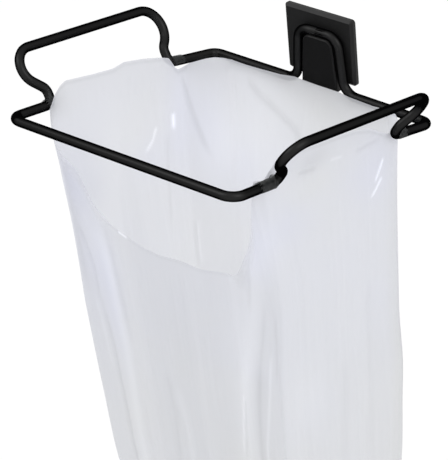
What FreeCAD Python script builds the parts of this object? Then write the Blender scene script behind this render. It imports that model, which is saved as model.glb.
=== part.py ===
import FreeCAD, Part
import math
import os

from FreeCAD import Vector

# Driving sizes, in millimetres and degrees

# Wire: a steel rod with a black coat, bent into one closed loop
wire_diameter = 7.0
wire_flats = 16
seat_gap = 0.3

# Rim of the loop: the square the bag hangs in
rim_width = 204.0
rim_depth = 204.6
rim_rise = 9.3
rim_shift = -2.2
front_bend = 10.0

# Ears: the raised loops at the two sides that the bag's handles go over
neck_forward = 163.3
neck_back = 41.3
neck_spread_left = 2.1
neck_lift = 9.5
neck_flare = 6.1
neck_bend = 6.0
flare_bend = 7.4
ear_reach = 25.0
ear_height = 35.3
ear_forward = 200.0
ear_back = 15.9
ear_front_bend = 14.0
ear_rear_bend = 16.0

# Rear rail: its two ends, measured in from the rim's sides, and the upright U in its middle
rear_left_in = 5.1
rear_right_in = -3.4
rear_left_set = -1.1
rear_right_set = 3.1
rear_bend = 7.0
u_shift = 2.7
u_foot_width = 43.0
u_top_width = 35.8
u_height = 43.1
u_foot_bend = 11.5
u_top_bend = 10.0

# Plate and its pad
plate_width = 62.0
plate_height = 51.0
plate_thickness = 4.5
plate_bevel = 2.0
plate_corner = 2.5
plate_lift = 5.1
pad_thickness = 1.0
pad_margin = 2.0

# Tongue: the raised middle of the plate that the U hooks over
tongue_proud = 6.0
tongue_side_gap = 1.5
tongue_foot = 0.6
tongue_bevel = 1.0

# Bag: clear film, drawn thick enough to be a solid wall
film = 1.0
bag_length = 430.0
tube_top = 24.0
back_wall_in_left = 18.4
back_wall_in_right = 28.0
back_rim_drop = 1.7
seam_y = -106.0
seam_depth = 6.0
seam_thickness = 2.0

# Mouth: the cut in the front wall, measured from the bag's sides
mouth_bottom = -91.0
mouth_foot_in = 35.0
mouth_foot_bend = 12.0
mouth_waist_height = -44.0
mouth_waist_in_left = 24.4
mouth_waist_in_right = 18.0
mouth_waist_bend = 60.0
mouth_top_height = -18.0
mouth_top_bend = 20.0

# Straps: the bag's handles, each a saddle of film over the wire beside a neck
strap_gap = 0.3
strap_leg = 2.0
strap_skirt = 12.0
strap_start = 6.5
strap_shoulder = 44.0
front_strap_width = 11.0
rear_strap_width = 6.5

# Places worked out from the sizes
wire_radius = wire_diameter / 2
plate_front = -(pad_thickness + plate_thickness)
rail_y = plate_front - seat_gap - wire_radius
rail_z = -(plate_height / 2 + plate_lift)
rise = math.radians(rim_rise)
half_rim = rim_width / 2

# Reach of the blocks that trim the bag, past all of it
trim_reach = rim_depth + 2 * ear_reach
trim_height = ear_height + tube_top
trim_depth = rim_depth / 2


def in_rim(side, forward, up):
    """A point of the tilted rim: sideways, forward of the rear rail and square to the rim."""
    y = rail_y - forward * math.cos(rise) + up * math.sin(rise)
    z = rail_z + forward * math.sin(rise) + up * math.cos(rise)
    return Vector(side, y, z)


def rounded_path(corners):
    """Straight runs joined by tangent arcs, through corners given as (point, bend radius)."""
    edges = []
    start = corners[0][0]
    for i in range(1, len(corners) - 1):
        corner, bend = corners[i]
        before = (corners[i - 1][0] - corner).normalize()
        after = (corners[i + 1][0] - corner).normalize()
        half = before.getAngle(after) / 2
        cut = bend / math.tan(half)
        middle = (before + after).normalize()
        centre = corner + middle * (bend / math.sin(half))
        arc_start = corner + before * cut
        arc_end = corner + after * cut
        arc_middle = centre - middle * bend
        edges.append(Part.LineSegment(start, arc_start).toShape())
        edges.append(Part.Arc(arc_start, arc_middle, arc_end).toShape())
        start = arc_end
    edges.append(Part.LineSegment(start, corners[-1][0]).toShape())
    return Part.Wire(edges)


def rod(corners):
    """Rod along a rounded path, its round section given as many narrow flats."""
    path = rounded_path(corners)
    start = corners[0][0]
    ring = []
    for i in range(wire_flats):
        turn = 2 * math.pi * (i + 0.5) / wire_flats
        ring.append(start + Vector(0, math.cos(turn), math.sin(turn)) * wire_radius)
    section = Part.makePolygon(ring + ring[:1])
    return path.makePipeShell([section], True, False)


def side_of_loop(hand):
    """Corners of one half of the loop, from the front rail's middle to the U's middle."""
    if hand < 0:
        rear_in, rear_set, spread = rear_left_in, rear_left_set, neck_spread_left
    else:
        rear_in, rear_set, spread = rear_right_in, rear_right_set, 0.0

    def at(out, forward, up):
        return in_rim(rim_shift + hand * out, forward, up)

    foot = u_shift + hand * u_foot_width / 2
    top = u_shift + hand * u_top_width / 2
    u_top_z = rail_z + u_height
    return [
        (at(0, rim_depth, 0), 0),
        (at(half_rim, rim_depth, 0), front_bend),
        (at(half_rim, neck_forward, 0), neck_bend),
        (at(half_rim + neck_flare, neck_forward, neck_lift), flare_bend),
        (at(half_rim + ear_reach, ear_forward, ear_height), ear_front_bend),
        (at(half_rim + ear_reach, ear_back, ear_height), ear_rear_bend),
        (at(half_rim + spread + neck_flare, neck_back, neck_lift), flare_bend),
        (at(half_rim + spread, neck_back, 0), neck_bend),
        (at(half_rim - rear_in, rear_set, 0), rear_bend),
        (Vector(foot, rail_y, rail_z), u_foot_bend),
        (Vector(top, rail_y, u_top_z), u_top_bend),
        (Vector(u_shift, rail_y, u_top_z), 0),
    ]


def make_wire_frame():
    """The whole loop: a left and a right half that meet end to end."""
    left = rod(side_of_loop(-1))
    right = rod(side_of_loop(1))
    return left.fuse(right).removeSplitter()


def flat_face(points):
    """Flat face with straight edges."""
    return Part.Face(Part.makePolygon(points + points[:1]))


def make_adhesive_pad():
    """Thin foam pad on the plate's back; its own back face is the origin."""
    wide = plate_width - 2 * pad_margin
    high = plate_height - 2 * pad_margin
    pad = Part.makeBox(wide, pad_thickness, high, Vector(-wide / 2, -pad_thickness, -high / 2))
    upright = [e for e in pad.Edges if abs(e.Vertexes[0].Y - e.Vertexes[-1].Y) > pad_thickness / 2]
    return pad.makeFillet(plate_corner, upright)


def make_tongue():
    """Raised middle of the plate, from its back face out, shaped to the inside of the U."""
    top_half = u_top_width / 2 - wire_radius - tongue_side_gap
    foot_half = u_foot_width / 2 - wire_radius - tongue_side_gap
    top_z = rail_z + u_height - wire_radius - seat_gap
    foot_z = rail_z + tongue_foot
    back = flat_face([
        Vector(u_shift - foot_half, -pad_thickness, foot_z),
        Vector(u_shift + foot_half, -pad_thickness, foot_z),
        Vector(u_shift + top_half, -pad_thickness, top_z),
        Vector(u_shift - top_half, -pad_thickness, top_z),
    ])
    tongue = back.extrude(Vector(0, -(plate_thickness + tongue_proud), 0))
    crown = [e for e in tongue.Edges if e.BoundBox.XLength < 0.01 and e.BoundBox.ZMin > top_z - 0.01]
    tongue = tongue.makeFillet(u_top_bend - wire_radius, crown)
    rim = [e for e in tongue.Edges if e.BoundBox.YMax < plate_front - tongue_proud + 0.01]
    return tongue.makeChamfer(tongue_bevel, rim)


def make_mount_plate():
    """Plate with rounded corners and bevelled front edges, one piece with its tongue."""
    slab = Part.makeBox(
        plate_width, plate_thickness, plate_height,
        Vector(-plate_width / 2, plate_front, -plate_height / 2))
    corners = [e for e in slab.Edges if e.BoundBox.YLength > plate_thickness / 2]
    slab = slab.makeFillet(plate_corner, corners)
    rim = [e for e in slab.Edges if e.BoundBox.YMax < plate_front + 0.01]
    slab = slab.makeChamfer(plate_bevel, rim)
    return slab.fuse(make_tongue()).removeSplitter()


# Bag: it hangs inside the loop, a hair clear of the wire
bag_left = rim_shift - half_rim + wire_radius + seat_gap
bag_right = rim_shift + half_rim - wire_radius - seat_gap
bag_back = rail_y - wire_radius - seat_gap
bag_front = rail_y - (neck_forward + strap_start + front_strap_width) * math.cos(rise)
bag_corner = rail_y - (neck_back - strap_start - rear_strap_width) * math.cos(rise)
back_wall_left = bag_left + back_wall_in_left
back_wall_right = bag_right - back_wall_in_right
foot_right = u_shift + u_foot_width / 2
rail_slant = rear_right_set / (rim_shift + half_rim - rear_right_in - foot_right)
bag_back_right = bag_back - rail_slant * (back_wall_right - foot_right)

# Its outline at falling shares of its length: how deep the folds are, then for each corner,
# going round from the front left, how far it moves in sideways and its share of the way to the seam
bag_shape = [
    (-0.06, 0, [(0, 0), (0, 0), (0, 0), (0, 0), (0, 0), (0, 0)]),
    (0.02, 0, [(0, 0), (0, 0), (0, 0), (0, 0), (0, 0), (0, 0)]),
    (0.12, 2, [(0, 0.08), (0, 0.08), (0, 0.07), (1, 0.01), (2, 0.01), (0, 0.07)]),
    (0.23, 4, [(3, 0.155), (1, 0.165), (0, 0.13), (2, 0.04), (4, 0.05), (1, 0.13)]),
    (0.38, 6, [(8, 0.18), (4, 0.19), (0, 0.16), (6, 0.085), (8, 0.105), (4, 0.19)]),
    (0.55, 7, [(15, 0.205), (9, 0.24), (0, 0.215), (10, 0.17), (12, 0.2), (9, 0.26)]),
    (0.70, 8, [(20, 0.265), (12, 0.315), (0, 0.3), (12, 0.31), (16, 0.33), (12, 0.36)]),
    (0.84, 6, [(16, 0.46), (10, 0.51), (2, 0.505), (14, 0.505), (19, 0.525), (10, 0.55)]),
    (0.94, 3, [(8, 0.73), (4, 0.755), (1, 0.77), (15, 0.76), (20, 0.77), (4, 0.8)]),
    (1.00, 0, [(2, 0.925), (2, 0.925), (1, 0.93), (16, 0.925), (21, 0.925), (1, 0.93)]),
]

# Folds going round from the front left corner: shares of the level's fold depth, into the bag
side_folds = [
    [0.25, 0.55, -0.25, -0.05, 0.15, -0.3, 0.6, -0.25],
    [0.1, -0.2, -0.3, 0.05, 0.3, 0.15],
    [],
    [-0.4, 0.1, 0.9, -0.5, -0.5, 0.4],
    [],
    [-0.1, 0.7, 0.6, -0.6, -0.7, 0.1],
]

# Top of the side walls: share of the way from front neck to rear neck, and height over the rim
side_top = [(-0.013, 6.0), (0.053, 12.6), (0.103, 15.0), (0.261, 15.4), (0.419, 14.1),
            (0.552, 14.2), (0.718, 12.9), (0.843, 9.8), (0.926, 4.9), (1.02, 0.0)]


def rim_height(y):
    """Height of the wire's middle line where the tilted rim passes over a depth."""
    return rail_z + (rail_y - y) * math.tan(rise)


def bag_levels():
    """Height, corners going round from the front left, and fold depth of each level."""
    corners = [
        (bag_left, bag_front), (bag_right, bag_front), (bag_right, bag_corner),
        (back_wall_right, bag_back_right), (back_wall_left, bag_back), (bag_left, bag_corner),
    ]
    levels = []
    for share, fold, moves in bag_shape:
        height = share * (seam_depth - bag_length)
        here = []
        for (x, y), (move_in, closing) in zip(corners, moves):
            here.append((x - math.copysign(move_in, x), y + closing * (seam_y - y)))
        levels.append((height, here, fold))
    return levels


def bag_outline(level, inset):
    """Points of one level going round, each moved inwards by the inset and by its fold."""
    height, corners, fold = level
    sides = len(corners)
    around = []
    for i, folds in enumerate(side_folds):
        corner = Vector(*corners[i], height)
        run = Vector(*corners[(i + 1) % sides], height) - corner
        before = corner - Vector(*corners[i - 1], height)
        inwards = Vector(-run.y, run.x, 0).normalize()
        mitre = inwards + Vector(-before.y, before.x, 0).normalize()
        around.append(corner + mitre * (2 * inset / mitre.dot(mitre)))
        for k, fold_share in enumerate(folds):
            share = (k + 1) / (len(folds) + 1)
            around.append(corner + run * share + inwards * (inset + fold * fold_share))
    return around


def creased_skin(outlines):
    """Closed solid whose sides are flat creased facets from each outline to the next."""
    faces = [flat_face(outlines[0]), flat_face(outlines[-1])]
    for upper, lower in zip(outlines, outlines[1:]):
        for i in range(len(upper)):
            j = (i + 1) % len(upper)
            faces.append(flat_face([upper[i], upper[j], lower[i]]))
            faces.append(flat_face([upper[j], lower[j], lower[i]]))
    shell = Part.makeShell(faces)
    shell.sewShape()
    solid = Part.Solid(shell)
    if solid.Volume < 0:
        solid.reverse()
    return solid


def bag_body():
    """Film tube, open at the top and closed by a flat seam at its foot."""
    levels = bag_levels()
    levels[0] = (tube_top,) + levels[0][1:]
    top = (tube_top + film,) + levels[0][1:]
    foot = (levels[-1][0] + film,) + levels[-1][1:]
    outside = creased_skin([bag_outline(level, 0) for level in levels])
    inside = creased_skin([bag_outline(level, film) for level in [top] + levels[1:-1] + [foot]])
    corners = levels[-1][1]
    seam = Part.makeBox(
        corners[2][0] - corners[5][0], seam_thickness, seam_depth + film / 2,
        Vector(corners[5][0], seam_y - seam_thickness / 2, -bag_length))
    return outside.fuse(seam).cut(inside)


def above_sides():
    """All that lies above the tops of the bag's side and rear walls."""
    def place(y, height):
        return Vector(-rim_width, y, height)

    necks = rail_y - neck_forward * math.cos(rise), rail_y - neck_back * math.cos(rise)
    crest = []
    for share, over in side_top:
        y = necks[0] + share * (necks[1] - necks[0])
        crest.append(place(y, rim_height(y) + over))
    curve = Part.BSplineCurve()
    curve.interpolate(crest)
    first, last = crest[0], crest[-1]
    rear_top = rail_z - back_rim_drop
    ahead = Part.makePolygon([
        place(-trim_reach, trim_height), place(-trim_reach, rim_height(-trim_reach)),
        place(first.y, rim_height(first.y)), first])
    behind = Part.makePolygon([
        last, place(bag_corner, rim_height(bag_corner)), place(bag_corner + 2 * film, rear_top),
        place(trim_reach, rear_top), place(trim_reach, trim_height), place(-trim_reach, trim_height)])
    outline = Part.Wire(ahead.Edges + [curve.toShape()] + behind.Edges)
    return Part.Face(outline).extrude(Vector(2 * rim_width, 0, 0))


def mouth():
    """The mouth's cut through the front wall: narrow at its foot and flared to the corners."""
    def place(x, height):
        return Vector(x, -trim_reach, height)

    left, right = bag_left + film, bag_right - film
    outline = rounded_path([
        (place(left, trim_height), 0),
        (place(left, mouth_top_height), mouth_top_bend),
        (place(bag_left + mouth_waist_in_left, mouth_waist_height), mouth_waist_bend),
        (place(bag_left + mouth_foot_in, mouth_bottom), mouth_foot_bend),
        (place(bag_right - mouth_foot_in, mouth_bottom), mouth_foot_bend),
        (place(bag_right - mouth_waist_in_right, mouth_waist_height), mouth_waist_bend),
        (place(right, mouth_top_height), mouth_top_bend),
        (place(right, trim_height), 0),
    ])
    closing = Part.makeLine(place(right, trim_height), place(left, trim_height))
    return Part.Face(Part.Wire(outline.Edges + [closing])).extrude(Vector(0, trim_depth, 0))


def strap(hand, corner_place, neck_place, width):
    """Saddle of film over the wire beside a neck, with one leg in the bag and a loose skirt outside."""
    corners = side_of_loop(hand)
    neck = corners[neck_place][0]
    along = (corners[corner_place][0] - neck).normalize()
    middle = neck + along * strap_start
    inner = wire_radius + strap_gap
    outer = inner + film
    leg = inner + strap_leg
    out = Vector(hand, 0, 0)
    up = Vector(0, 0, 1)
    low = -strap_skirt
    shoulder = math.radians(strap_shoulder)
    slope_top = -outer * math.cos(shoulder), outer * math.sin(shoulder)

    def at(sideways, height):
        return middle + out * sideways + up * height

    edges = [
        Part.makeLine(at(-leg, low), at(-leg, 0)),
        Part.makeLine(at(-leg, 0), at(*slope_top)),
        Part.Arc(at(*slope_top), at(0, outer), at(outer, 0)).toShape(),
        Part.makeLine(at(outer, 0), at(outer, low)),
        Part.makeLine(at(outer, low), at(inner, low)),
        Part.makeLine(at(inner, low), at(inner, 0)),
        Part.Arc(at(inner, 0), at(0, inner), at(-inner, 0)).toShape(),
        Part.makeLine(at(-inner, 0), at(-inner, low)),
        Part.makeLine(at(-inner, low), at(-leg, low)),
    ]
    return Part.Face(Part.Wire(edges)).extrude(along * width)


def make_bin_bag():
    """The bag in one piece with its four straps."""
    bag = bag_body().cut(above_sides()).cut(mouth())
    for hand in (-1, 1):
        bag = bag.fuse(strap(hand, 1, 2, front_strap_width))
        bag = bag.fuse(strap(hand, 8, 7, rear_strap_width))
    return bag.removeSplitter()


def save(node, shape):
    """Writes one piece to its file."""
    shape.exportStep("parts/" + node + ".step")


os.makedirs("parts", exist_ok=True)
save("wire_frame", make_wire_frame())
save("mount_plate", make_mount_plate())
save("adhesive_pad", make_adhesive_pad())
save("bin_bag", make_bin_bag())
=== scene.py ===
import math

import bmesh
import bpy
from mathutils import Matrix, Vector, noise


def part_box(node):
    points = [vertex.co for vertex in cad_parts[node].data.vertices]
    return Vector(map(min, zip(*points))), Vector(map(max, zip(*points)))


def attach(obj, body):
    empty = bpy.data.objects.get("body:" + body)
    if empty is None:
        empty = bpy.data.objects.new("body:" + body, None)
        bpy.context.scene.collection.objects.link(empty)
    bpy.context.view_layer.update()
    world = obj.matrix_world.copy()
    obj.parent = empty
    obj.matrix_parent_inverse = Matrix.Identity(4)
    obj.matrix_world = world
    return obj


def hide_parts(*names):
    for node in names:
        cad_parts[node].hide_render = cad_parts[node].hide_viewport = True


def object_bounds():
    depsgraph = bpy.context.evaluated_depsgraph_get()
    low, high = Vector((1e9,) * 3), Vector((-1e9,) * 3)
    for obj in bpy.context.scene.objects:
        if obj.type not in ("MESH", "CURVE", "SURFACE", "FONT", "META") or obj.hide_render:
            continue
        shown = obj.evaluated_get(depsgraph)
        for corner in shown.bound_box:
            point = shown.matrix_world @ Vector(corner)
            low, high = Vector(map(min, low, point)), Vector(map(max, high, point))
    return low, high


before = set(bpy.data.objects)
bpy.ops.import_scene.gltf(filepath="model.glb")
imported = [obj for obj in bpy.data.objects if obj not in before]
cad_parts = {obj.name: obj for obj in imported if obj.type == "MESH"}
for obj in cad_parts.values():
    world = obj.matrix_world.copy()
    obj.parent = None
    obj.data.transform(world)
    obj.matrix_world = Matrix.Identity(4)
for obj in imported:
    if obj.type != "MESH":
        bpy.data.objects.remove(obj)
cad_low, cad_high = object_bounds()

# Coated wire
# One steel rod, bent into a closed loop and butt welded, then powder coated in satin black.
# The loop hooks over the plate by the U in its rear rail, and nothing else holds it.
merge_distance = 0.00001
flat_angle = math.radians(0.5)


def place_object(name, data):
    """New object in the scene, at the origin and unturned."""
    thing = bpy.data.objects.new(name, data)
    bpy.context.scene.collection.objects.link(thing)
    return thing


def new_finish(name):
    """Material with its nodes, its links and its main shader."""
    finish = bpy.data.materials.new(name)
    finish.use_nodes = True
    tree = finish.node_tree
    return finish, tree.nodes, tree.links, tree.nodes["Principled BSDF"]


def two_tone(nodes, first, last, start=0.0, end=1.0):
    """Ramp from one colour at the start value to another at the end value."""
    ramp_node = nodes.new("ShaderNodeValToRGB")
    ramp_node.color_ramp.elements[0].position = start
    ramp_node.color_ramp.elements[0].color = (*first, 1)
    ramp_node.color_ramp.elements[1].position = end
    ramp_node.color_ramp.elements[1].color = (*last, 1)
    return ramp_node


def spread(nodes, low, high, at_low=0.0, at_high=1.0):
    """Values from at_low to at_high brought to low to high, and held beyond them."""
    mapped = nodes.new("ShaderNodeMapRange")
    mapped.inputs["From Min"].default_value = at_low
    mapped.inputs["From Max"].default_value = at_high
    mapped.inputs["To Min"].default_value = low
    mapped.inputs["To Max"].default_value = high
    return mapped


def make_fine_grain():
    """Broad cloudy mask and fine raised grain, which the coat and the plastic both have."""
    group = bpy.data.node_groups.new("fine_grain", "ShaderNodeTree")
    nodes, links = group.nodes, group.links
    for name in ("Cloud Scale", "Cloud Detail", "Grain Scale", "Grain Detail", "Strength", "Depth"):
        group.interface.new_socket(name, in_out="INPUT", socket_type="NodeSocketFloat")
    group.interface.new_socket("Cloud", in_out="OUTPUT", socket_type="NodeSocketFloat")
    group.interface.new_socket("Normal", in_out="OUTPUT", socket_type="NodeSocketVector")
    given = nodes.new("NodeGroupInput")
    result = nodes.new("NodeGroupOutput")
    place = nodes.new("ShaderNodeTexCoord")
    cloud = nodes.new("ShaderNodeTexNoise")
    grain = nodes.new("ShaderNodeTexNoise")
    raised = nodes.new("ShaderNodeBump")
    links.new(place.outputs["Object"], cloud.inputs["Vector"])
    links.new(place.outputs["Object"], grain.inputs["Vector"])
    links.new(given.outputs["Cloud Scale"], cloud.inputs["Scale"])
    links.new(given.outputs["Cloud Detail"], cloud.inputs["Detail"])
    links.new(given.outputs["Grain Scale"], grain.inputs["Scale"])
    links.new(given.outputs["Grain Detail"], grain.inputs["Detail"])
    links.new(given.outputs["Strength"], raised.inputs["Strength"])
    links.new(given.outputs["Depth"], raised.inputs["Distance"])
    links.new(grain.outputs["Fac"], raised.inputs["Height"])
    links.new(cloud.outputs["Fac"], result.inputs["Cloud"])
    links.new(raised.outputs["Normal"], result.inputs["Normal"])
    return group


fine_grain = make_fine_grain()


def add_grain(nodes, cloud_scale, cloud_detail, grain_scale, grain_detail, strength, depth):
    """Fine grain in a finish, with its own sizes."""
    grained = nodes.new("ShaderNodeGroup")
    grained.node_tree = fine_grain
    grained.inputs["Cloud Scale"].default_value = cloud_scale
    grained.inputs["Cloud Detail"].default_value = cloud_detail
    grained.inputs["Grain Scale"].default_value = grain_scale
    grained.inputs["Grain Detail"].default_value = grain_detail
    grained.inputs["Strength"].default_value = strength
    grained.inputs["Depth"].default_value = depth
    return grained


def make_coat():
    """Satin black powder coat, with a sheen where it faces the eye and dull towards its edges."""
    finish, nodes, links, skin = new_finish("satin_black_coat")
    facing = nodes.new("ShaderNodeLayerWeight")
    facing.inputs["Blend"].default_value = 0.5
    sheen = two_tone(nodes, (0.31, 0.31, 0.31), (0, 0, 0), start=0.08, end=0.42)
    grained = add_grain(nodes, 38, 4, 900, 3, strength=0.12, depth=0.0002)
    blacks = two_tone(nodes, (0.0012, 0.0012, 0.0013), (0.0022, 0.0022, 0.0023), start=0.3, end=0.75)
    gloss = spread(nodes, 0.34, 0.48)
    links.new(facing.outputs["Facing"], sheen.inputs["Fac"])
    links.new(sheen.outputs["Color"], skin.inputs["Specular IOR Level"])
    links.new(grained.outputs["Cloud"], blacks.inputs["Fac"])
    links.new(blacks.outputs["Color"], skin.inputs["Base Color"])
    links.new(grained.outputs["Cloud"], gloss.inputs["Value"])
    links.new(gloss.outputs["Result"], skin.inputs["Roughness"])
    links.new(grained.outputs["Normal"], skin.inputs["Normal"])
    return finish


wire_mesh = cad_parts["wire_frame"].data.copy()
wire_edit = bmesh.new()
wire_edit.from_mesh(wire_mesh)
bmesh.ops.remove_doubles(wire_edit, verts=wire_edit.verts, dist=merge_distance)
bmesh.ops.dissolve_limit(wire_edit, angle_limit=flat_angle, verts=wire_edit.verts, edges=wire_edit.edges)
for face in wire_edit.faces:
    face.smooth = True
wire_edit.to_mesh(wire_mesh)
wire_edit.free()
wire_mesh.materials.clear()
wire_mesh.materials.append(make_coat())
coated_wire = place_object("coated_wire", wire_mesh)

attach(coated_wire, "root")
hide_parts("wire_frame")

# Plate
# A moulded black plastic plate with bevelled edges and a raised tongue in its middle.
# The wire's U hooks over the tongue, and the back is flat for the pad.
# Painted shade: the plastic's colour darkens from the plate's face out to the tongue's face, between
# these two depths
tongue_shade_y = -0.0105
plate_shade_y = -0.0060


def add_math(nodes, operation):
    """Arithmetic node of a finish."""
    math_node = nodes.new("ShaderNodeMath")
    math_node.operation = operation
    return math_node


def make_plastic():
    """Moulded black plastic, with painted shade darkening the tongue's face, and shinier on the bevels.
    """
    finish, nodes, links, skin = new_finish("moulded_black_plastic")
    place = nodes.new("ShaderNodeTexCoord")
    stands_out = nodes.new("ShaderNodeSeparateXYZ")
    # Painted shade on the tongue's face, scaling the colour down the further out the surface stands
    painted_tongue_shade = spread(nodes, 0.42, 1.0, at_low=tongue_shade_y, at_high=plate_shade_y)
    painted_shade_colour = nodes.new("ShaderNodeVectorMath")
    painted_shade_colour.operation = "SCALE"
    slants = nodes.new("ShaderNodeSeparateXYZ")
    slant = add_math(nodes, "ABSOLUTE")
    bevel_shine = spread(nodes, 0.04, 0.22, at_low=0.98, at_high=0.80)
    grained = add_grain(nodes, 60, 5, 2200, 2, strength=0.2, depth=0.0001)
    blacks = two_tone(nodes, (0.0124, 0.0124, 0.0126), (0.0152, 0.0152, 0.0155), start=0.3, end=0.8)
    gloss = spread(nodes, 0.42, 0.55)
    links.new(grained.outputs["Cloud"], blacks.inputs["Fac"])
    links.new(place.outputs["Object"], stands_out.inputs["Vector"])
    links.new(stands_out.outputs["Y"], painted_tongue_shade.inputs["Value"])
    links.new(blacks.outputs["Color"], painted_shade_colour.inputs[0])
    links.new(painted_tongue_shade.outputs["Result"], painted_shade_colour.inputs["Scale"])
    links.new(painted_shade_colour.outputs["Vector"], skin.inputs["Base Color"])
    links.new(place.outputs["Normal"], slants.inputs["Vector"])
    links.new(slants.outputs["Y"], slant.inputs[0])
    links.new(slant.outputs["Value"], bevel_shine.inputs["Value"])
    links.new(bevel_shine.outputs["Result"], skin.inputs["Specular IOR Level"])
    links.new(grained.outputs["Cloud"], gloss.inputs["Value"])
    links.new(gloss.outputs["Result"], skin.inputs["Roughness"])
    links.new(grained.outputs["Normal"], skin.inputs["Normal"])
    return finish


plate_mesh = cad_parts["mount_plate"].data
plate_mesh.materials.clear()
plate_mesh.materials.append(make_plastic())

# Adhesive pad
# A thin double-sided foam pad on the plate's back, which sticks the holder to a wall.
# It is pale closed-cell foam, cut a little smaller than the plate.


def make_foam():
    """Pale closed-cell foam with small pits."""
    finish, nodes, links, skin = new_finish("closed_cell_foam")
    skin.inputs["Roughness"].default_value = 0.85
    place = nodes.new("ShaderNodeTexCoord")
    cells = nodes.new("ShaderNodeTexVoronoi")
    cells.inputs["Scale"].default_value = 1400
    greys = two_tone(nodes, (0.5, 0.5, 0.48), (0.68, 0.68, 0.66))
    pits = nodes.new("ShaderNodeBump")
    pits.inputs["Strength"].default_value = 0.3
    pits.inputs["Distance"].default_value = 0.0002
    links.new(place.outputs["Object"], cells.inputs["Vector"])
    links.new(cells.outputs["Distance"], greys.inputs["Fac"])
    links.new(greys.outputs["Color"], skin.inputs["Base Color"])
    links.new(cells.outputs["Distance"], pits.inputs["Height"])
    links.new(pits.outputs["Normal"], skin.inputs["Normal"])
    return finish


pad_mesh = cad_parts["adhesive_pad"].data
pad_mesh.materials.clear()
pad_mesh.materials.append(make_foam())

# Film bag
# One tube of thin milky film with a welded foot, hung inside the wire loop by four handles.
# A flat grid of film is wrapped round the loop, cut to the rim and the mouth, and creased.
bag_low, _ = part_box("bin_bag")
# The foot's weld runs straight from left to right, at this height and this far from the wall
seam_foot = bag_low[2]
seam_y = -0.106

# The tube has six sides. Each runs anticlockwise from its own corner, seen from above
front, right, rear_right, rear, rear_left, left = range(6)
side_count = 6
corner_home = [
    (-0.1004, -0.1877), (0.0960, -0.1877), (0.0960, -0.0372),
    (0.0680, -0.0148), (-0.0820, -0.0131), (-0.1004, -0.0372)]

# Height, depth of the broad folds in mm, then for each corner how far it moves in sideways
# in mm and its share of the way to the seam
levels = [
    (0.024, 0, [(0, 0), (0, 0), (0, 0), (0, 0), (0, 0), (0, 0)]),
    (-0.0085, 0, [(0, 0), (0, 0), (0, 0), (0, 0), (0, 0), (0, 0)]),
    (-0.051, 2, [(0, 0.08), (0, 0.08), (-1.5, 0.07), (1, 0.01), (2, 0.01), (0, 0.07)]),
    (-0.0975, 4, [(1, 0.155), (1, 0.165), (-1.2, 0.115), (2, 0.04), (4, 0.05), (1, 0.13)]),
    (-0.161, 6, [(6, 0.18), (4, 0.19), (-0.5, 0.14), (6, 0.085), (8, 0.105), (4, 0.19)]),
    (-0.233, 7, [(12.5, 0.205), (9, 0.24), (-2, 0.18), (10, 0.17), (12, 0.2), (9, 0.26)]),
    (-0.297, 8, [(15.5, 0.265), (12, 0.315), (-0.8, 0.26), (12, 0.31), (16, 0.33), (12, 0.36)]),
    (-0.356, 6, [(16, 0.46), (10, 0.51), (2, 0.505), (14, 0.505), (19, 0.525), (10, 0.55)]),
    (-0.3985, 3, [(8, 0.73), (4, 0.755), (1, 0.77), (15, 0.76), (20, 0.77), (4, 0.8)]),
    (-0.424, 0, [(2, 0.93), (2, 0.93), (1, 0.935), (16, 0.93), (21, 0.93), (1, 0.935)]),
    (-0.4265, 0, [(2, 0.985), (2, 0.985), (1, 0.985), (16, 0.985), (21, 0.985), (1, 0.985)]),
    (seam_foot, 0, [(2, 0.99), (2, 0.99), (1, 0.99), (16, 0.99), (21, 0.99), (1, 0.99)]),
]
# Broad folds of each side as shares of the level's fold depth, positive into the bag
side_folds = {
    front: [0, 0.25, 0.55, -0.25, -0.05, 0.15, -0.3, 0.6, -0.25, 0],
    right: [0, 0.1, -0.2, -0.3, 0.05, 0.3, 0.15, 0],
    rear_right: [0, 0],
    rear: [0, -0.4, 0.1, 0.9, -0.5, -0.5, 0.4, 0],
    rear_left: [0, 0],
    left: [0, -0.1, 0.7, 0.6, -0.6, -0.7, 0.1, 0],
}
# The rear right edge bulges a little half way down
bulge_out = 0.0016
bulge_height = -0.205
bulge_reach = 0.025


def ramp(value, start, end):
    """0 up to the start, 1 from the end on, and straight between them."""
    return min(max((value - start) / (end - start), 0), 1)


def smooth(part):
    """0 to 1 with a soft start and end."""
    return part * part * (3 - 2 * part)


def level_values(height):
    """Fold depth, then the two moves of each corner, smoothly between levels."""
    upper = 0
    while upper < len(levels) - 2 and height < levels[upper + 1][0]:
        upper += 1
    lowest = len(levels) - 1
    around = [levels[min(max(k, 0), lowest)] for k in range(upper - 1, upper + 3)]
    heights = [level[0] for level in around]
    flat = [[level[1]] + [move for pair in level[2] for move in pair] for level in around]
    drop = heights[1] - heights[2]
    part = ramp(height, heights[1], heights[2])
    reach_up = max(heights[0] - heights[2], drop)
    reach_down = max(heights[1] - heights[3], drop)
    values = []
    for before, a, b, after in zip(*flat):
        slope_a = (b - before) / reach_up * drop if (b - a) * (a - before) > 0 else 0
        slope_b = (after - a) / reach_down * drop if (after - b) * (b - a) > 0 else 0
        values.append(
            a * smooth(1 - part) + slope_a * part * (1 - part) ** 2
            + b * smooth(part) - slope_b * (1 - part) * part ** 2)
    return values


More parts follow.
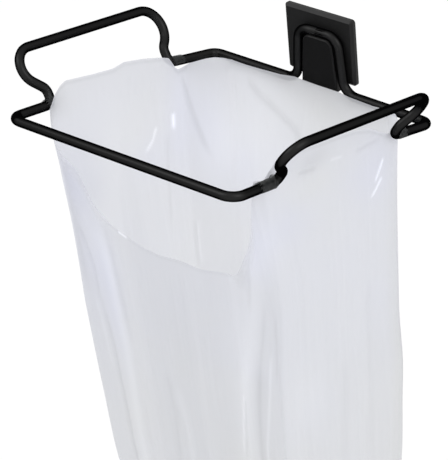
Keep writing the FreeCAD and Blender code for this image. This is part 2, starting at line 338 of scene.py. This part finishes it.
# Outline and fold depth of the tube at even heights, from a little above the rim to the foot
table_top = 0.030
table_step = 0.001
rings = []
fold_depths = []
for k in range(int((table_top - seam_foot) / table_step) + 2):
    height = table_top - k * table_step
    fold_depth, *moves = level_values(height)
    fold_depths.append(fold_depth / 1000)
    bulge = bulge_out * math.exp(-((height - bulge_height) / bulge_reach) ** 2)
    ring = []
    for corner, (x, y) in enumerate(corner_home):
        move_in, closing = moves[2 * corner] / 1000, moves[2 * corner + 1]
        if corner == rear_right:
            move_in -= bulge
        ring.append((x - math.copysign(1, x) * move_in, y + closing * (seam_y - y)))
    rings.append(ring)

side_lengths = [
    (Vector(corner_home[(side + 1) % side_count]) - Vector(corner_home[side])).length
    for side in range(side_count)]
side_starts = [sum(side_lengths[:side]) for side in range(side_count + 1)]
perimeter = side_starts[-1]


def on_side(along):
    """Side of the tube and share along it, for a distance round the tube."""
    along = along % perimeter
    side = 0
    while side < side_count - 1 and along >= side_starts[side + 1]:
        side += 1
    return side, (along - side_starts[side]) / side_lengths[side]


def along_at(side, share):
    """Distance round the tube of a share along a side."""
    return side_starts[side] + share * side_lengths[side]


def ring_at(height):
    """Corners of the tube's outline, and the depth of its folds, at a height."""
    place = min(max((table_top - height) / table_step, 0), len(rings) - 2)
    row = int(place)
    part = place - row
    ring = [
        (ax + (bx - ax) * part, ay + (by - ay) * part)
        for (ax, ay), (bx, by) in zip(rings[row], rings[row + 1])]
    return ring, fold_depths[row] + (fold_depths[row + 1] - fold_depths[row]) * part


def tube_spot(ring, along):
    """Place on a sharp-cornered outline, for a distance round the tube."""
    side, share = on_side(along)
    (ax, ay), (bx, by) = ring[side], ring[(side + 1) % side_count]
    return ax + (bx - ax) * share, ay + (by - ay) * share


def broad_fold(side, share):
    """Share of the fold depth at a share along a side."""
    folds = side_folds[side]
    place = share * (len(folds) - 1)
    first = min(int(place), len(folds) - 2)
    part = (place - first + smooth(place - first)) / 2
    return folds[first] + (folds[first + 1] - folds[first]) * part


# Top edge of the film: share along the side and height in mm
free_edge = {
    front: [
        (0.000, -1.2), (0.010, -12.0), (0.020, -18.0), (0.078, -34.0), (0.127, -42.0),
        (0.150, -56.0), (0.165, -68.0), (0.180, -73.5), (0.204, -79.0), (0.227, -82.8),
        (0.254, -85.0), (0.292, -86.0), (0.333, -87.6), (0.400, -91.4), (0.460, -92.6),
        (0.549, -91.4), (0.663, -90.2), (0.752, -88.4), (0.805, -87.2), (0.832, -84.0),
        (0.860, -75.8), (0.912, -57.9), (0.927, -51.2), (0.946, -42.0), (0.968, -28.0),
        (0.990, -13.0)],
    right: [
        (0.000, -1.2), (0.071, -1.5), (0.104, 3.0), (0.154, 7.3), (0.197, 9.0),
        (0.264, 7.8), (0.324, 6.0), (0.450, 1.6), (0.556, -0.9), (0.689, -5.5),
        (0.789, -11.0), (0.855, -17.6), (0.915, -23.0), (0.945, -23.8), (0.975, -19.0)],
    rear_right: [(0.300, -19.0), (0.650, -24.0)],
    rear: [
        (0.000, -28.5), (0.089, -29.3), (0.161, -28.9), (0.235, -28.4), (0.297, -27.1),
        (0.445, -26.8), (0.521, -26.7), (0.574, -26.2), (0.662, -28.2), (0.800, -29.2),
        (0.920, -29.6), (1.000, -29.3)],
    rear_left: [(0.150, -27.8), (0.322, -26.4), (0.520, -26.2), (0.747, -27.0), (0.917, -27.7)],
    left: [
        (0.000, -28.6), (0.030, -28.8), (0.060, -28.5), (0.080, -26.2), (0.100, -21.5),
        (0.125, -16.0), (0.182, -11.9), (0.297, -5.6), (0.427, 0.1), (0.502, -0.3),
        (0.631, 3.7), (0.813, 10.3), (0.850, 8.5), (0.900, 3.0), (0.930, -1.5), (1.000, -1.2)],
}
edge_line = [
    (along_at(side, share), height / 1000)
    for side, points in free_edge.items() for share, height in points]


def top_height(along):
    """Height of the film's top edge, for a distance round the tube."""
    for (a, high_a), (b, high_b) in zip(edge_line, edge_line[1:]):
        if a <= along <= b:
            return high_a + (high_b - high_a) * (along - a) / (b - a)
    return edge_line[-1][1]


# Fine creases: side, half width and depth into the bag in mm, tone, which is painted shade where
# negative, a painted highlight where positive and a painted glint where it is large, then the line that
# each follows as share along the side and height in mm
creases = [
    (front, 5.0, -0.35, 0.75, [(0.166, -83), (0.174, -142), (0.184, -190), (0.169, -262), (0.160, -400)]),
    (front, 1.6, 0.7, -0.7, [(0.097, -145), (0.115, -189), (0.118, -228), (0.117, -282), (0.110, -390)]),
    (front, 1.5, 0.5, -0.5, [(0.060, -90), (0.094, -125), (0.092, -165)]),
    (front, 1.4, -0.3, 0.4, [(0.076, -151), (0.085, -189), (0.088, -216)]),
    (front, 2.0, 0.3, -0.5, [(0.193, -80), (0.190, -96), (0.198, -117), (0.214, -190)]),
    (front, 4.0, 0.3, -0.6, [(0.066, -33), (0.055, -60), (0.041, -103), (0.034, -156)]),
    (front, 8.0, -0.35, 0.6, [(0.960, -45), (0.925, -72), (0.905, -100), (0.870, -141),
                              (0.800, -183), (0.775, -242), (0.760, -330)]),
    (front, 1.6, 0.4, -0.5, [(0.925, -46), (0.905, -68), (0.885, -95), (0.870, -120)]),
    (front, 2.0, 0.5, -0.55, [(0.950, -93), (0.930, -127), (0.900, -165), (0.885, -200), (0.875, -320)]),
    (front, 6.0, 0.4, -0.5, [(0.910, -150), (0.885, -200), (0.875, -320)]),
    (front, 1.3, -0.2, 0.8, [(0.962, -136), (0.935, -190), (0.915, -225), (0.905, -300)]),
    (front, 1.2, 0.25, -0.5, [(0.991, -108), (0.987, -142), (0.976, -170)]),
    (front, 0.9, -0.1, 1.1, [(0.788, -186), (0.772, -216), (0.758, -250)]),
    (front, 1.6, 0.2, -0.6, [(0.800, -190), (0.784, -216), (0.770, -250)]),
    (front, 3.0, 0.3, -0.35, [(0.405, -185), (0.426, -226), (0.412, -262), (0.400, -340)]),
    (front, 3.5, -0.5, 0.4, [(0.452, -200), (0.485, -238), (0.490, -330)]),
    (front, 2.0, 0.6, -0.3, [(0.600, -300), (0.620, -400)]),
    (front, 3.0, 0.8, -0.3, [(0.280, -290), (0.300, -405)]),
    # Painted glint along the mouth's edge
    (front, 1.3, 0.0, 2.8, [(0.262, -86.2), (0.292, -87.1), (0.320, -88.0)]),
    # Two painted glints on the right side
    (right, 1.0, -0.5, 3.6, [(0.884, -38), (0.851, -45.9), (0.814, -54.5)]),
    (right, 1.0, -0.4, 3.4, [(0.872, -51.5), (0.829, -58.1), (0.780, -64)]),
    (right, 1.1, -0.3, 0.7, [(0.508, -16), (0.599, -19)]),
    (right, 1.6, 0.6, -0.6, [(0.284, -11), (0.431, -16)]),
    (right, 2.0, 0.5, -0.5, [(0.677, -21), (0.881, -23)]),
    (right, 3.0, 0.3, -0.7, [(0.990, -40), (0.994, -74), (0.992, -160), (0.996, -300)]),
    (right, 7.0, 0.7, -0.3, [(0.513, -165), (0.460, -255), (0.450, -380)]),
    (right, 4.0, 0.6, -0.2, [(0.750, -120), (0.700, -300)]),
    (rear, 4.0, 1.0, -0.8, [(0.901, -36), (0.812, -49), (0.698, -60), (0.590, -69), (0.450, -110)]),
    (rear, 3.0, 0.9, -0.4, [(0.300, -150), (0.340, -370)]),
    (rear, 3.0, 0.8, -0.4, [(0.750, -220), (0.700, -390)]),
    (rear_left, 1.7, 0.9, -1.0, [(1.2035, -32), (1.0, -49), (0.865, -67), (0.661, -91), (0.459, -110)]),
    (rear_left, 1.2, -0.3, 0.7, [(0.915, -151), (0.931, -177), (0.906, -194)]),
    (rear_left, 1.6, 0.5, -0.5, [(0.985, -151), (0.995, -177), (0.975, -194)]),
    # Two painted glints inside the left side
    (left, 2.2, -0.5, 3.2, [(0.102, -60), (0.103, -74)]),
    (left, 1.3, -0.4, 2.2, [(0.243, -62), (0.284, -70), (0.363, -78)]),
    (left, 3.0, 0.5, -0.5, [(0.154, -70), (0.218, -160)]),
    (left, 3.0, 0.9, -0.4, [(0.300, -190), (0.330, -380)]),
    (left, 3.0, 0.9, -0.4, [(0.620, -160), (0.600, -360)]),
]
# A crease reaches three half widths, and fades in and out over these shares of its length
crease_spread = 3
crease_start = 0.12
crease_end = 0.3
crease_lines = []
for side, half_width, depth, tone, points in creases:
    trail = [Vector((along_at(side, share), height / 1000)) for share, height in points]
    whole = sum((b - a).length for a, b in zip(trail, trail[1:]))
    runs = []
    done = 0
    for a, b in zip(trail, trail[1:]):
        runs.append((a, b, done / whole, (b - a).length / whole))
        done += (b - a).length
    margin = crease_spread * half_width / 1000
    first_along = min(point.x for point in trail) - margin
    last_along = max(point.x for point in trail) + margin
    crease_lines.append((first_along, last_along, half_width / 1000, depth / 1000, tone, runs))


def crease_at(near_creases, along, height):
    """Depth into the bag, and tone of painted shade and highlight, that the fine creases give one spot.
    """
    here = Vector((along, height))
    depth = tone = 0.0
    for _, _, half_width, most_depth, most_tone, runs in near_creases:
        strongest = 0
        for a, b, begin, part in runs:
            run = b - a
            nearest = min(max((here - a).dot(run) / run.length_squared, 0), 1)
            away = (here - (a + run * nearest)).length / half_width
            if away < crease_spread:
                passed = begin + part * nearest
                fade = smooth(min(1, passed / crease_start, (1 - passed) / crease_end))
                strongest = max(strongest, math.exp(-away * away) * fade)
        depth += most_depth * strongest
        tone += most_tone * strongest
    return depth, tone


# Soft painted shade and painted light over whole areas, with a blue tint of the film: side, share along
# it and height of the middle, reach along and down in mm, tone (painted shade where negative, painted
# light where positive), blue tint
painted_shades_and_tints = [
    (front, 0.50, -150, 55, 60, -0.4, 0),
    (front, 0.45, -250, 60, 60, -0.4, 0),
    (front, 0.05, -120, 10, 120, -0.3, 0.2),
    (front, 0.10, -56, 14, 28, -0.25, 0.5),
    (front, 0.15, -95, 14, 26, 0.4, 0.1),
    (front, 0.14, -125, 14, 28, 0, 0.45),
    (front, 0.15, -172, 9, 34, 0, 0.4),
    (front, 0.78, -150, 14, 60, 0.45, 0),
    (front, 0.88, -55, 26, 28, 0, 0.5),
    (front, 0.85, -82, 9, 10, -0.5, 0),
    (front, 0.965, -50, 13, 32, 0.6, 0.05),
    (right, 0.39, -9, 16, 8, -0.7, 0),
    (right, 0.21, -190, 25, 28, 0.35, 0),
    (right, 0.96, -200, 9, 160, -0.3, -0.25),
    (right, 0.15, -45, 25, 18, -0.1, 0.3),
    (right, 0.82, -42, 26, 26, 0, 0.5),
    (right, 0.03, -48, 14, 28, 0.4, 0.05),
    (right, 0.35, -25, 22, 14, 0, -0.25),
    (rear, 0.30, -33, 48, 20, -1.1, 0),
    (rear, 0.62, -34, 20, 10, -0.5, 0),
    (rear, 0.20, -80, 40, 30, -0.4, 0),
    (rear, 0.85, -90, 34, 44, 0.8, 0.05),
    (rear, 0.75, -170, 60, 30, 0.45, 0),
    (rear, 0.95, -115, 15, 25, 0, 0.3),
    (rear, 0.40, -45, 60, 32, 0, -0.25),
    (rear_left, 0.25, -95, 12, 30, 0.6, 0),
    (rear_left, 0.50, -85, 12, 50, 0, 0.35),
    (left, 0.60, -50, 40, 40, 0.2, 0),
    (left, 0.86, -60, 32, 32, -0.7, 0.3),
    (left, 0.97, -20, 8, 30, -0.6, 0),
    (left, 0.05, -60, 15, 55, 0, 0.5),
    (left, 0.30, -85, 25, 16, 0, 0.3),
    (left, 0.75, -86, 18, 18, -0.35, 0.1),
]
shade_spread = 2.5
# The film is bluer above the first of these heights than below the second
top_tint = 0.13
foot_tint = -0.12
tint_heights = (-0.16, -0.25)


def shades_near(along):
    """Painted area shade and tints that reach a column of the film, with the squared share of their reach
    to it.
    """
    near_shades = []
    for side, share, height, reach, fall, tone, blue in painted_shades_and_tints:
        off = (along - along_at(side, share)) * 1000 / reach
        if abs(off) < shade_spread:
            near_shades.append((off * off, height / 1000, fall / 1000, tone, blue))
    return near_shades


def shading_at(near_shades, height):
    """Tone of painted shade and light, and blue tint, that the soft area marks give one spot."""
    tone = 0.0
    tint = top_tint + (foot_tint - top_tint) * ramp(height, *tint_heights)
    for off_squared, middle, fall, most_tone, blue in near_shades:
        weight = math.exp(-off_squared - ((height - middle) / fall) ** 2)
        tone += most_tone * weight
        tint += blue * weight
    return tone, tint


# Just below its edge the film has a painted dark shade line, and on the bag's sides a painted bright
# highlight along the edge above it. Each is a tone, how far its middle is below the edge, and its half
# width
painted_edge_highlight = (0.5, 0.0, 0.0010)
painted_side_shade_line = (-0.7, 0.0022, 0.0014)
painted_mouth_shade_line = (-0.35, 0.0015, 0.0015)
right_rim_start = 0.09
mouth_rim_start = 0.21
mouth_rim_end = 0.80


def painted_line_tone(line, below):
    """Tone that one of these painted lines gives the film a little below its edge: painted shade where
    negative, a painted highlight where positive.
    """
    tone, middle, half_width = line
    return tone * math.exp(-((below - middle) / half_width) ** 2)


def painted_rim_tone(side, share, below):
    """Painted shade and highlight of the film a little below its edge, at a share along a side."""
    if side == left or (side == right and share > right_rim_start):
        return painted_line_tone(painted_edge_highlight, below) + painted_line_tone(painted_side_shade_line, below)
    if side == front and mouth_rim_start < share < mouth_rim_end:
        return painted_line_tone(painted_mouth_shade_line, below)
    return 0.0


# At both sides of the mouth the film thins to the eye over a drop below its edge. Each row has
# that drop, then the shares along the front where it begins, is full, is last full and ends
mouth_fades = [(0.022, 0.02, 0.06, 0.175, 0.225), (0.020, 0.78, 0.86, 0.945, 0.975)]


def mouth_fade(side, share):
    """Drop below the edge over which the film gets its full cover."""
    if side != front:
        return 0.0
    return sum(
        drop * ramp(share, begin, full) * ramp(share, end, last_full)
        for drop, begin, full, last_full, end in mouth_fades)


def rumple(turn, height, around, down, start):
    """Smooth unevenness at one spot of the film, the same on each run."""
    return noise.noise(Vector((math.cos(turn) * around, math.sin(turn) * around, height * down + start)))


# The flat grid has its rows crowded towards the edge
columns = 500
rows = 190
rim_crowding = 0.45
# The outline's corners are rounded by a weighted mean of five spots along it, and more so near
# the two front corners of the rim
tap_steps = (-1.5, -0.75, 0, 0.75, 1.5)
tap_weights = (1, 2, 3, 2, 1)
corner_round = 0.0025
front_round = 0.014
front_round_reach = 0.05
front_round_drop = 0.16
# Above the weld the film opens, and below the rim it hangs slack. Billows and wrinkles have
# their turns round the bag, their rate down it and the start of their noise
weld_top = seam_foot + 0.004
fully_open = seam_foot + 0.034
slack_start = -0.05
slack_full = -0.20
billows = (6, 4, 7)
billow_depth = 0.0011
wrinkles = (22, 11, 3)
wrinkle_depth = 0.00045
wrinkle_drop = 0.02
wrinkle_bias = 0.4
least_depth = 0.0001
slack_out = 0.006
seam_merge = 0.00005
# How much the film hides, and the share of that at the edge of the mouth's sides
wall_cover = 0.88
edge_cover = 0.55

film = bmesh.new()
bmesh.ops.create_grid(film, x_segments=columns, y_segments=rows, size=0.5)
contact_layer = film.verts.layers.float.new("contact")
painted_light_layer = film.verts.layers.float.new("tone")
tint_layer = film.verts.layers.float.new("tint")
cover_layer = film.verts.layers.float.new("cover")
by_column = {}
for vert in film.verts:
    by_column.setdefault(round((vert.co.x + 0.5) * columns), []).append(vert)
for column, line in by_column.items():
    along = column / columns * perimeter
    side, share = on_side(along)
    edge = top_height(along)
    near_creases = [crease for crease in crease_lines if crease[0] < along < crease[1]]
    near_shades = shades_near(along)
    broad = broad_fold(side, share)
    fade_drop = mouth_fade(side, share)
    to_corner = min(along, abs(along - side_starts[right]), perimeter - along)
    near_front = 1 - ramp(to_corner, 0, front_round_reach)
    turn = 2 * math.pi * along / perimeter
    for vert in line:
        down = 0.5 - vert.co.y
        height = edge + (seam_foot - edge) * down * (rim_crowding + (1 - rim_crowding) * down)
        below = edge - height
        ring, fold_depth = ring_at(height)
        window = corner_round + front_round * near_front * max(0, 1 + height / front_round_drop)
        taps = [tube_spot(ring, along + step * window) for step in tap_steps]
        x = sum(tap[0] * weight for tap, weight in zip(taps, tap_weights)) / sum(tap_weights)
        y = sum(tap[1] * weight for tap, weight in zip(taps, tap_weights)) / sum(tap_weights)
        inwards = Vector((taps[0][1] - taps[-1][1], taps[-1][0] - taps[0][0])).normalized()
        open_part = ramp(height, weld_top, fully_open)
        slack = ramp(height, slack_start, slack_full) * open_part
        crease_depth, crease_painted_light = crease_at(near_creases, along, height)
        area_painted_light, tint = shading_at(near_shades, height)
        depth = crease_depth * open_part + broad * fold_depth
        depth += slack * billow_depth * rumple(turn, height, *billows)
        wrinkled = min(below / wrinkle_drop, 1) * open_part
        depth += wrinkled * wrinkle_depth * (rumple(turn, height, *wrinkles) + wrinkle_bias)
        depth = max(depth, least_depth - slack_out * slack)
        shown = smooth(min(below / fade_drop, 1)) if fade_drop > 0 else 1
        vert.co = Vector((x, y, height)) + inwards.to_3d() * depth
        # Painted shade and highlights from the creases, the soft area marks and the rim lines, kept as
        # the tone
        vert[painted_light_layer] = crease_painted_light + area_painted_light + painted_rim_tone(side, share, below)
        vert[tint_layer] = tint
        vert[cover_layer] = wall_cover * (edge_cover + (1 - edge_cover) * shown)
bmesh.ops.remove_doubles(film, verts=film.verts, dist=seam_merge)

# Handles: film drawn tight over the wire at each neck, dark where it lies on the wire. Each
# has the way that its outer skirt lies and the wire's middle line under it
saddle = 0.0039
inner_skirt = 0.0008
outer_skirt = 0.0022
arc = math.pi * saddle
across_steps = 18
round_steps = 26
end_fade = 6
lumps = (2.5, 280, 3)
lump_height = 0.0008
handle_contact = 0.983
handle_mottle = 0.025
handle_cover = 0.86
handles = [
    (1, [(0.0998, -0.1895, -0.0007), (0.0998, -0.1815, -0.0021), (0.0998, -0.1740, -0.0033),
         (0.1008, -0.1716, -0.0008)]),
    (-1, [(-0.1042, -0.1780, -0.0026), (-0.1044, -0.1730, -0.0031), (-0.1058, -0.1712, 0.0002),
          (-0.1075, -0.1712, 0.0035)]),
    (-1, [(-0.1058, -0.0500, -0.0239), (-0.1052, -0.0440, -0.0248), (-0.1046, -0.0375, -0.0259)]),
    (1, [(0.1000, -0.0480, -0.0242), (0.1003, -0.0430, -0.0250), (0.1006, -0.0375, -0.0259)]),
]
for outwards, centres in handles:
    centres = [Vector(centre) for centre in centres]
    strip = bmesh.ops.create_grid(film, x_segments=across_steps, y_segments=round_steps, size=0.5)
    for vert in strip["verts"]:
        across = (vert.co.x + 0.5) * (len(centres) - 1)
        first = min(int(across), len(centres) - 2)
        centre = centres[first].lerp(centres[first + 1], across - first)
        run = (0.5 - vert.co.y) * (inner_skirt + arc + outer_skirt)
        end_part = min(1, end_fade * (0.5 - abs(vert.co.x)))
        lump = noise.noise(Vector((across * lumps[0], run * lumps[1], outwards * lumps[2])))
        radius = saddle + abs(lump_height * lump)
        if run < inner_skirt:
            out, up = -radius, run - inner_skirt
        elif run < inner_skirt + arc:
            turn = (run - inner_skirt) / saddle
            out, up = -radius * math.cos(turn), radius * math.sin(turn)
        else:
            out, up = radius, inner_skirt + arc - run
        vert.co = centre + Vector((outwards * out, 0, up))
        vert[contact_layer] = handle_contact + handle_mottle * lump
        vert[cover_layer] = handle_cover * end_part
bmesh.ops.recalc_face_normals(film, faces=film.faces)
for face in film.faces:
    face.smooth = True
film_mesh = bpy.data.meshes.new("film_bag")
film.to_mesh(film_mesh)
film.free()


def make_milky_film():
    """Thin milky film that scatters light through it and shows what lies behind, with painted shade and
    highlights scaling its colour.
    """
    finish, nodes, links, skin = new_finish("milky_film")
    skin.inputs["IOR"].default_value = 1.5
    skin.inputs["Specular IOR Level"].default_value = 0.4
    skin.inputs["Roughness"].default_value = 0.34
    place = nodes.new("ShaderNodeTexCoord")
    layers = {}
    for name in ("tint", "tone", "contact", "cover"):
        layers[name] = nodes.new("ShaderNodeAttribute")
        layers[name].attribute_name = name
    cloud = nodes.new("ShaderNodeTexNoise")
    cloud.inputs["Scale"].default_value = 14
    cloud.inputs["Detail"].default_value = 3
    clouded = add_math(nodes, "MULTIPLY_ADD")
    clouded.inputs[1].default_value = 0.5
    whites = two_tone(nodes, (0.832, 0.842, 0.858), (0.810, 0.828, 0.938))
    # Painted shade and highlights: the tone attribute scales the film's colour down for shade and up for
    # highlights and glints
    painted_light_scale = spread(nodes, 0.76, 1.36, at_low=-2, at_high=3)
    painted_light_colour = nodes.new("ShaderNodeVectorMath")
    painted_light_colour.operation = "SCALE"
    darkened = nodes.new("ShaderNodeMix")
    darkened.data_type = "RGBA"
    darkened.inputs["B"].default_value = (0.026, 0.028, 0.028, 1)
    seen = nodes.new("ShaderNodeLightPath")
    indirect = add_math(nodes, "MAXIMUM")
    let_light_in = spread(nodes, 1.0, 0.2)
    pass_light = add_math(nodes, "MULTIPLY")
    stretch = nodes.new("ShaderNodeMapping")
    stretch.inputs["Scale"].default_value = (260, 260, 12)
    draw_lines = nodes.new("ShaderNodeTexNoise")
    draw_lines.inputs["Scale"].default_value = 1
    draw_lines.inputs["Detail"].default_value = 3
    ripples = nodes.new("ShaderNodeBump")
    ripples.inputs["Strength"].default_value = 0.035
    ripples.inputs["Distance"].default_value = 0.0005
    through = nodes.new("ShaderNodeBsdfTranslucent")
    lit = nodes.new("ShaderNodeMixShader")
    lit.inputs["Fac"].default_value = 0.45
    clear = nodes.new("ShaderNodeBsdfTransparent")
    whole = nodes.new("ShaderNodeMixShader")
    links.new(place.outputs["Object"], cloud.inputs["Vector"])
    links.new(cloud.outputs["Fac"], clouded.inputs[0])
    links.new(layers["tint"].outputs["Fac"], clouded.inputs[2])
    links.new(clouded.outputs["Value"], whites.inputs["Fac"])
    links.new(layers["tone"].outputs["Fac"], painted_light_scale.inputs["Value"])
    links.new(whites.outputs["Color"], painted_light_colour.inputs[0])
    links.new(painted_light_scale.outputs["Result"], painted_light_colour.inputs["Scale"])
    links.new(layers["contact"].outputs["Fac"], darkened.inputs["Factor"])
    links.new(painted_light_colour.outputs["Vector"], darkened.inputs["A"])
    links.new(darkened.outputs["Result"], skin.inputs["Base Color"])
    links.new(darkened.outputs["Result"], through.inputs["Color"])
    links.new(place.outputs["Object"], stretch.inputs["Vector"])
    links.new(stretch.outputs["Vector"], draw_lines.inputs["Vector"])
    links.new(draw_lines.outputs["Fac"], ripples.inputs["Height"])
    links.new(ripples.outputs["Normal"], skin.inputs["Normal"])
    links.new(seen.outputs["Is Shadow Ray"], indirect.inputs[0])
    links.new(seen.outputs["Is Diffuse Ray"], indirect.inputs[1])
    links.new(indirect.outputs["Value"], let_light_in.inputs["Value"])
    links.new(layers["cover"].outputs["Fac"], pass_light.inputs[0])
    links.new(let_light_in.outputs["Result"], pass_light.inputs[1])
    links.new(skin.outputs["BSDF"], lit.inputs[1])
    links.new(through.outputs["BSDF"], lit.inputs[2])
    links.new(pass_light.outputs["Value"], whole.inputs["Fac"])
    links.new(clear.outputs["BSDF"], whole.inputs[1])
    links.new(lit.outputs["Shader"], whole.inputs[2])
    links.new(whole.outputs["Shader"], nodes["Material Output"].inputs["Surface"])
    return finish


film_mesh.materials.append(make_milky_film())
film_bag = place_object("film_bag", film_mesh)

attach(film_bag, "root")
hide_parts("bin_bag")

# Floor
# A pale floor well under the hanging bag, seen as white but keeping the shadow.
floor_drop = 0.19
floor_half = 6.0
floor_white = 1.03
floor_glow = 0.88


def make_pale_floor():
    """Matt pale floor that the eye, reflections and clear film see as nearly white."""
    finish, nodes, links, matt = new_finish("pale_floor")
    matt.inputs["Base Color"].default_value = (0.86, 0.86, 0.86, 1)
    matt.inputs["Roughness"].default_value = 0.9
    matt.inputs["Specular IOR Level"].default_value = 0.1
    white = nodes.new("ShaderNodeEmission")
    white.inputs["Strength"].default_value = floor_white
    seen = nodes.new("ShaderNodeLightPath")
    eye_or_gloss = add_math(nodes, "MAXIMUM")
    any_of_three = add_math(nodes, "MAXIMUM")
    part_white = add_math(nodes, "MULTIPLY")
    part_white.inputs[1].default_value = floor_glow
    blend = nodes.new("ShaderNodeMixShader")
    links.new(seen.outputs["Is Camera Ray"], eye_or_gloss.inputs[0])
    links.new(seen.outputs["Is Glossy Ray"], eye_or_gloss.inputs[1])
    links.new(eye_or_gloss.outputs["Value"], any_of_three.inputs[0])
    links.new(seen.outputs["Is Transmission Ray"], any_of_three.inputs[1])
    links.new(any_of_three.outputs["Value"], part_white.inputs[0])
    links.new(part_white.outputs["Value"], blend.inputs["Fac"])
    links.new(matt.outputs["BSDF"], blend.inputs[1])
    links.new(white.outputs["Emission"], blend.inputs[2])
    links.new(blend.outputs["Shader"], nodes["Material Output"].inputs["Surface"])
    return finish


floor_edit = bmesh.new()
bmesh.ops.create_grid(floor_edit, x_segments=1, y_segments=1, size=floor_half)
bmesh.ops.translate(floor_edit, verts=floor_edit.verts, vec=(0, 0, cad_low[2] - floor_drop))
floor_mesh = bpy.data.meshes.new("floor")
floor_edit.to_mesh(floor_mesh)
floor_edit.free()
floor_mesh.materials.append(make_pale_floor())
floor = place_object("floor", floor_mesh)

# Light
# A bright plain room and two large soft lamps, one high on the left and one on the right.
room_light = 0.86
room_white = 1.0
lamp_target = Vector((0, -0.1, -0.1))

room = bpy.data.worlds.new("plain_room")
bpy.context.scene.world = room
room.use_nodes = True
nodes, links = room.node_tree.nodes, room.node_tree.links
glow = nodes["Background"]
glow.inputs["Color"].default_value = (1, 1, 1, 1)
seen = nodes.new("ShaderNodeLightPath")
strength = spread(nodes, room_light, room_white)
links.new(seen.outputs["Is Camera Ray"], strength.inputs["Value"])
links.new(strength.outputs["Result"], glow.inputs["Strength"])


def soft_lamp(name, spot, size, power):
    """Large square lamp at a spot, turned to the bag."""
    lamp = bpy.data.lights.new(name, "AREA")
    lamp.size = size
    lamp.energy = power
    holder = place_object(name, lamp)
    holder.location = spot
    holder.rotation_euler = (lamp_target - Vector(spot)).to_track_quat("-Z", "Y").to_euler()


soft_lamp("left_softbox", (-1.1, -1.2, 1.6), size=1.2, power=16)
soft_lamp("right_softbox", (1.5, -0.3, 1.1), size=0.9, power=7)

# Camera
# It looks down on the holder from the front right, as the photograph does.
camera_spot = Vector((1.1723, -1.3344, 0.8643))
camera_right = Vector((0.74761, 0.65957, -0.07778))
camera_up = Vector((-0.27757, 0.41669, 0.86563))
lens = bpy.data.cameras.new("camera")
lens.lens = 223.3
lens.sensor_width = 36
lens.sensor_fit = "HORIZONTAL"
lens.clip_start = 0.05
lens.clip_end = 50
camera = place_object("camera", lens)
camera_back = camera_right.cross(camera_up).normalized()
camera_turn = Matrix((camera_right, camera_up, camera_back)).transposed().to_4x4()
camera.matrix_world = Matrix.Translation(camera_spot) @ camera_turn
bpy.context.scene.camera = camera
bpy.context.scene.view_settings.view_transform = "Standard"
